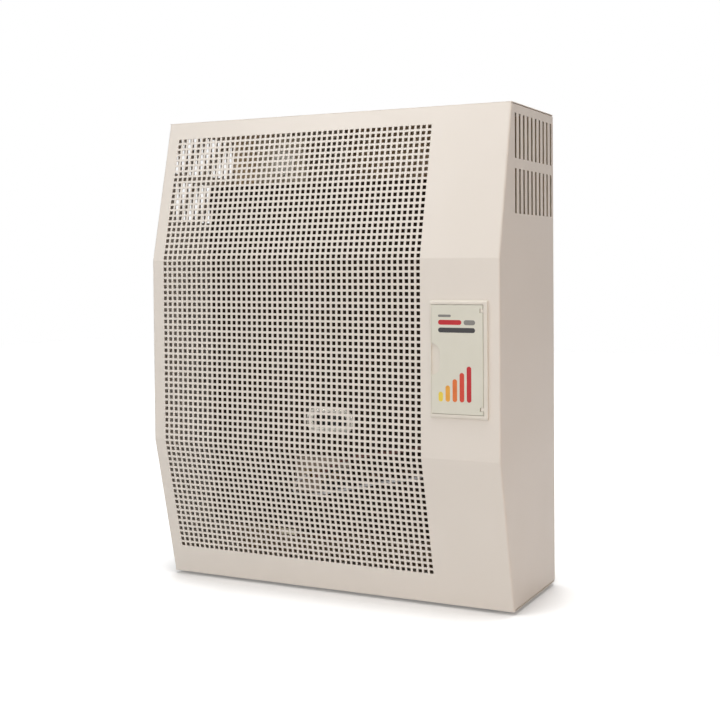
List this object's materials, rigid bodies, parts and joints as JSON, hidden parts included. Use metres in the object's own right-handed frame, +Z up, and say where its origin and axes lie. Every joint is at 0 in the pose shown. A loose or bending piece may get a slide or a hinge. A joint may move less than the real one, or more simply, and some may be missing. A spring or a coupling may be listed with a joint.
{
  "type": "wall mounted gas heater",
  "caption": "Wall mounted gas convector heater with a faceted perforated front, slotted sides, a hinged control hatch and a rear flue outlet.",
  "frame": {"origin": "middle of the casing on the wall plane, half way up and half way across its back", "axes": "+Z up, +Y into the wall, +X to the right of a person facing the heater; the perforated front faces -Y"},
  "size_m": [0.514, 0.2085, 0.6368],
  "materials": {
    "casing_paint": "satin cream powder coat",
    "hatch_plastic": "cream moulded plastic, fine satin",
    "galvanised": "galvanised sheet",
    "zinc": "bright zinc plate",
    "black_enamel": "matt black heat resistant enamel",
    "steel": "plated steel",
    "bright_metal": "bright plated pressing",
    "glass": "heat resistant glass",
    "gasket_fibre": "woven mineral fibre",
    "brass": "machined brass",
    "ceramic": "glazed white ceramic",
    "copper": "drawn copper",
    "tube_aluminium": "drawn aluminium",
    "lead_sleeve": "silicone rubber sleeve",
    "valve_casting": "die cast, lightly blasted",
    "knob_plastic": "moulded black plastic",
    "button_red": "moulded red plastic",
    "clip_brass": "yellow passivated spring steel"
  },
  "bodies": {
    "casing": {"front_panel": "casing_paint", "side_panel_left": "casing_paint", "side_panel_right": "casing_paint", "top_panel": "casing_paint", "bottom_panel": "casing_paint", "rear_panel": "galvanised", "casing_screws": "steel", "hatch_frame": "hatch_plastic", "hatch_hinge_pins": "steel", "heat_exchanger": "black_enamel", "heat_shield": "galvanised", "exchanger_brackets": "galvanised", "bracket_screws": "steel", "flue_hood": "galvanised", "inspection_cap": "zinc", "exhaust_spigot": "galvanised", "air_intake_collar": "galvanised", "air_duct": "galvanised", "sight_window_frame": "bright_metal", "sight_glass": "glass", "sight_gasket": "gasket_fibre", "sight_window_screws": "steel", "burner_access_plate": "galvanised", "access_plate_gasket": "gasket_fibre", "access_plate_screws": "steel", "burner_tube": "steel", "injector_holder": "brass", "pilot_burner": "brass", "ignition_electrode": "ceramic", "thermocouple": "copper", "probe_nuts": "brass", "pilot_tube": "tube_aluminium", "ignition_lead": "lead_sleeve", "gas_supply_pipe": "copper", "gas_valve": "valve_casting", "magnet_unit": "brass", "valve_screws": "steel", "knob_spring": "steel", "control_bracket": "galvanised", "piezo_igniter": "knob_plastic", "piezo_nut": "steel", "piezo_spring": "steel", "gas_inlet_pipe": "steel", "union_nut": "brass", "thermostat_bulb": "copper", "thermostat_capillary": "copper", "bulb_clip": "clip_brass"},
    "hatch_door": {"hatch_door": "hatch_plastic"},
    "valve_spindle": {"valve_spindle": "steel"},
    "control_knob": {"control_knob": "knob_plastic"},
    "piezo_button": {"piezo_button": "button_red"}
  },
  "joints": [
    {"name": "hatch_hinge", "type": "hinge", "parent": "casing", "child": "hatch_door", "pos_m": [0.2342, -0.2063, 0], "axis": [0, 0, 1], "range_deg": [0, 95]},
    {"name": "spindle_turn", "type": "hinge", "parent": "casing", "child": "valve_spindle", "pos_m": [0.20515, -0.18, -0.022], "axis": [0, -1, 0], "range_deg": [0, 270]},
    {"name": "knob_push", "type": "slide", "parent": "valve_spindle", "child": "control_knob", "axis": [0, 1, 0], "range_m": [0, 0.005], "stiffness_N_per_m": 600, "springref_m": -0.003, "deforming": ["knob_spring"]},
    {"name": "button_push", "type": "slide", "parent": "casing", "child": "piezo_button", "axis": [0, 1, 0], "range_m": [0, 0.007], "stiffness_N_per_m": 900, "springref_m": -0.003, "deforming": ["piezo_spring"]}
  ]
}
